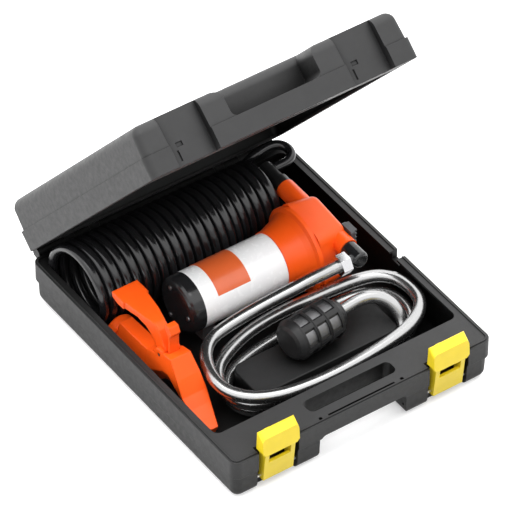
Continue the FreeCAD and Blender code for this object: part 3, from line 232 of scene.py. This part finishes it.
ORANGE = (1.0, 0.105, 0.008)
finishes = {
    "case_plastic": surface("case_plastic", (0.03, 0.03, 0.0305), 0.5, spread=0.05,
                            grain=0.05, grain_scale=1600, edge=0.8, specular=0.24,
                            painted_shade_reach=100),
    "steel": surface("steel", (0.6, 0.6, 0.62), 0.3, metal=1.0, grain=0.01, stretch=(1, 8, 8)),
    "latch_yellow": surface("latch_yellow", (0.9, 0.68, 0.02), 0.38, spread=0.03, grain=0.02,
                            edge=0.4),
    "white_can": surface("white_can", (0.95, 0.95, 0.955), 0.25, spread=0.0, coat=0.4),
    "orange_label": surface("orange_label", (0.75, 0.13, 0.03), 0.35, spread=0.03, coat=0.3),
    "black_gloss": surface("black_gloss", (0.012, 0.012, 0.013), 0.2, grain=0.01, edge=0.4),
    "black_plastic": surface("black_plastic", (0.012, 0.012, 0.0125), 0.38, grain=0.02,
                             edge=0.4, specular=0.35),
    "ferrite": surface("ferrite", (0.09, 0.09, 0.1), 0.6, grain=0.03),
    "rubber_grey": surface("rubber_grey", (0.05, 0.05, 0.052), 0.7, grain=0.04),
    "rubber_black": surface("rubber_black", (0.02, 0.02, 0.02), 0.6, grain=0.03),
    "orange_plastic": surface("orange_plastic", ORANGE, 0.36, spread=0.04, grain=0.015,
                              grain_scale=1200, edge=0.6, specular=0.3),
    "switch_grey": surface("switch_grey", (0.06, 0.06, 0.065), 0.45, grain=0.03, edge=0.4),
    "chrome": surface("chrome", (0.85, 0.85, 0.87), 0.18, spread=0.02, metal=1.0, edge=0.3,
                      rough_spread=0.03),
    "hose_black": surface("hose_black", (0.01, 0.01, 0.011), 0.2, grain=0.02,
                          grain_scale=900),
    "suction_black": surface("suction_black", (0.012, 0.012, 0.012), 0.26, coat=1.0,
                             rough_spread=0.02, index=3.3, coat_index=2.0, coat_rough=0.24),
    "mesh_steel": surface("mesh_steel", (0.2, 0.2, 0.205), 0.5, metal=1.0, grain=0.2,
                          grain_scale=1500),
    "gun_orange": surface("gun_orange", ORANGE, 0.36, spread=0.04, grain=0.015,
                          grain_scale=1200, edge=2.4, specular=0.3),
    "winding_copper": surface("winding_copper", (0.6, 0.25, 0.1), 0.35, metal=1.0, grain=0.1),
    "brass": surface("brass", (0.75, 0.55, 0.25), 0.25, metal=1.0, grain=0.01),
}
for row in frame["record"]["subparts"]:
    node = nodes[row["node"]]
    node.data.materials.clear()
    node.data.materials.append(finishes[row["material_slot"]])


# Cords: the coiled hose and the suction hose

def tube(name, points, diameter, material):
    curve = bpy.data.curves.new(name, "CURVE")
    curve.dimensions = "3D"
    spline = curve.splines.new("NURBS")
    spline.points.add(len(points) - 1)
    for point, place in zip(spline.points, points):
        point.co = (*mm(*place), 1)
    spline.order_u = 3
    spline.use_endpoint_u = True
    spline.resolution_u = 4
    curve.bevel_depth = diameter / 2 * MM
    curve.bevel_resolution = 6
    curve.use_fill_caps = True
    curve.materials.append(material)
    piece = bpy.data.objects.new(name, curve)
    scene.collection.objects.link(piece)
    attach(piece, "base")
    return piece


RECOIL_DIAMETER = 10.8
COIL_TURNS = 22
COIL_PITCH = 11.45
COIL_LEFT = -152.0
COIL_Y = 131.7
COIL_Z = 54.7
COIL_RADIUS = 45.2
# beside the pump the coil is pressed narrower and further back
SQUEEZE_LEFT = 6.0
SQUEEZE_RIGHT = 68.0
SQUEEZE_NARROW = 6.4
SQUEEZE_BACK = 7.6
# the coil's left end runs down to the fitting in a short straight stub
STUB_X = COIL_LEFT - 1.3
STUB_Y = COIL_Y + COIL_RADIUS
STUB_ABOVE = 9
COIL_STEPS = 12
COIL_STEP = 360 // COIL_STEPS
# a spline's curve runs this much inside a ring of its points
SPLINE_INSIDE = 0.75 + 0.25 * math.cos(2 * math.pi / COIL_STEPS)


def coil_point(angle):
    # the same coil as the solid's: at an angle from the back over the top
    x = COIL_LEFT + COIL_PITCH * angle / 360
    share = min(1.0, max(0.0, (x - SQUEEZE_LEFT) / (SQUEEZE_RIGHT - SQUEEZE_LEFT)))
    press = share * share * (3 - 2 * share)
    radius = (COIL_RADIUS - SQUEEZE_NARROW * press) / SPLINE_INSIDE
    turn = math.radians(angle)
    return (x, COIL_Y + SQUEEZE_BACK * press + radius * math.cos(turn),
            COIL_Z + radius * math.sin(turn))


# from the pump's outlet in a loop to the coil's right end, through the coil and into the stub
outlet_end = (121.3, 146, 78)
recoil_points = [outlet_end, (129, 146, 78), (141, 146, 78.3), (150, 152.5, 79.5),
                 (151, 163.5, 81.5), (143, 171.5, 84), (129, 172.5, 86), (113, 170, 85.5)]
for angle in range(360 * COIL_TURNS + COIL_STEP, 0, -COIL_STEP):
    recoil_points.append(coil_point(angle))
for stub_z in (COIL_Z + STUB_ABOVE, COIL_Z, COIL_Z - RECOIL_DIAMETER):
    recoil_points.append((STUB_X, STUB_Y, stub_z))
recoil = tube("coiled_hose", recoil_points, RECOIL_DIAMETER, finishes["hose_black"])
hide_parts("recoil_hose")

# from the pump's inlet three turns down, each inside the one above, and up to the strainer
SUCTION_DIAMETER = 15.0
inlet_end = (86, -25, 78)
strainer_end = (58, -64.3, 54.8)
suction_points = [
    inlet_end, (66, -25, 78), (48, -24, 77), (32, -23, 74), (8, -19, 68.5), (-31, -16, 62),
    (-58, -15, 56), (-76, -17, 53), (-92, -28, 51), (-103, -47, 49), (-108, -70, 47),
    (-104, -92, 44.5), (-87, -112, 43.5), (-60, -124, 43.2), (-32, -129, 43.2), (-2, -131, 43.2),
    (34, -130, 43.2), (66, -127, 43.2), (92, -123, 43.2), (114, -118, 43.2), (134, -108, 43.2),
    (148, -94, 43.2), (153, -79, 43.2), (153, -62, 43), (149, -46, 43), (137, -32, 43),
    (120, -25, 42.5), (98, -21, 42), (56, -17, 40), (21, -14, 38), (-18, -16, 36.5),
    (-47, -23, 35.5), (-70, -32, 34), (-87, -43, 33), (-97, -59, 32), (-99, -77, 30.5),
    (-94, -96, 29), (-79, -111, 28), (-50, -118, 27.5), (0, -120, 27.5), (60, -120, 27.5),
    (100, -118, 27.3), (124, -108, 27), (138, -92, 26.5), (143, -74, 26), (142, -57, 26),
    (134, -41, 26), (115, -30, 25), (91, -25, 23.5), (67, -24, 22.5), (25, -27, 20),
    (-15, -30, 18.5), (-50, -35, 17), (-76, -45, 15.5), (-90, -63, 14), (-91, -87, 13),
    (-78, -104, 12.2), (-50, -112, 11.8), (0, -113, 11.8), (60, -113, 11.8), (94, -112, 12.5),
    (116, -104, 17), (125, -94, 28), (123, -83, 42), (115, -72, 51), (102, -64, 55),
    (86, -61.5, 55.5), (72, -62.6, 54.8), strainer_end]
suction = tube("smooth_hose", suction_points, SUCTION_DIAMETER, finishes["suction_black"])
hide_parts("suction_hose")


# Stage and light

FLOOR_SIZE = 6
FLOOR_DROP = 0.2
FLOOR_UNSEEN = (0.3, 0.3, 0.3)
FLOOR_SEEN = (0.8, 0.8, 0.8)
FLOOR_GLOW = 0.3
FLOOR_ROUGHNESS = 0.9
DOME_LOW = 0.12
DOME_HIGH = 2.1
# the dome brightens between these heights, and its back counts as this much higher
DOME_START = 0.13
DOME_END = 0.21
DOME_TILT = 0.35
LAMP_PLACE = (-0.1, 0.1, 1.6)
LAMP_SIZE = 1.6
LAMP_POWER = 18


def seen_rays(tree):
    # 1 for rays that show the background: first the direct ones, then the mirrored ones too
    rays = tree.nodes.new("ShaderNodeLightPath").outputs
    direct = larger(tree, rays["Is Camera Ray"], rays["Is Transmission Ray"])
    return direct, larger(tree, direct, rays["Is Glossy Ray"])


def floor():
    mesh = bpy.data.meshes.new("floor")
    sheet = bmesh.new()
    bmesh.ops.create_grid(sheet, x_segments=1, y_segments=1, size=FLOOR_SIZE)
    sheet.to_mesh(mesh)
    sheet.free()
    plane = bpy.data.objects.new("floor", mesh)
    scene.collection.objects.link(plane)
    plane.location.z = -FLOOR_DROP * MM
    material, tree, shader = new_material("floor")
    seen = seen_rays(tree)[1]
    link(tree, tint(tree, seen, FLOOR_UNSEEN, FLOOR_SEEN), shader.inputs["Base Color"])
    shader.inputs["Roughness"].default_value = FLOOR_ROUGHNESS
    shader.inputs["Emission Color"].default_value = (1, 1, 1, 1)
    link(tree, ramp(tree, seen, 0, FLOOR_GLOW, 0, 1), shader.inputs["Emission Strength"])
    mesh.materials.append(material)


def world():
    # a studio dome: bright above and behind, dim near the ground, white where seen directly
    scene.world = bpy.data.worlds.new("studio")
    scene.world.use_nodes = True
    tree = scene.world.node_tree
    background = tree.nodes["Background"]
    direction = tree.nodes.new("ShaderNodeTexCoord")
    parts = tree.nodes.new("ShaderNodeSeparateXYZ")
    link(tree, direction.outputs["Generated"], parts.inputs[0])
    height = tree.nodes.new("ShaderNodeMath")
    height.operation = "MULTIPLY_ADD"
    height.inputs[1].default_value = DOME_TILT
    link(tree, parts.outputs["Y"], height.inputs[0])
    link(tree, parts.outputs["Z"], height.inputs[2])
    dome = ramp(tree, height.outputs[0], DOME_LOW, DOME_HIGH, DOME_START, DOME_END)
    direct, seen = seen_rays(tree)
    strength = tree.nodes.new("ShaderNodeMix")
    link(tree, direct, strength.inputs[0])
    link(tree, dome, strength.inputs[NUMBER_A])
    strength.inputs[NUMBER_B].default_value = 1.0
    # a mirrored ray sees at least the white background, and the brighter dome above it
    link(tree, larger(tree, strength.outputs[0], seen), background.inputs["Strength"])
    background.inputs["Color"].default_value = (1, 1, 1, 1)


def lamp():
    light = bpy.data.lights.new("overhead", "AREA")
    light.shape = "RECTANGLE"
    light.size = LAMP_SIZE
    light.size_y = LAMP_SIZE
    light.energy = LAMP_POWER
    overhead = bpy.data.objects.new("overhead", light)
    scene.collection.objects.link(overhead)
    overhead.location = LAMP_PLACE
    # it hangs above the object and points at the frame's origin
    overhead.rotation_euler = Vector(LAMP_PLACE).to_track_quat("Z", "Y").to_euler()


floor()
world()
lamp()
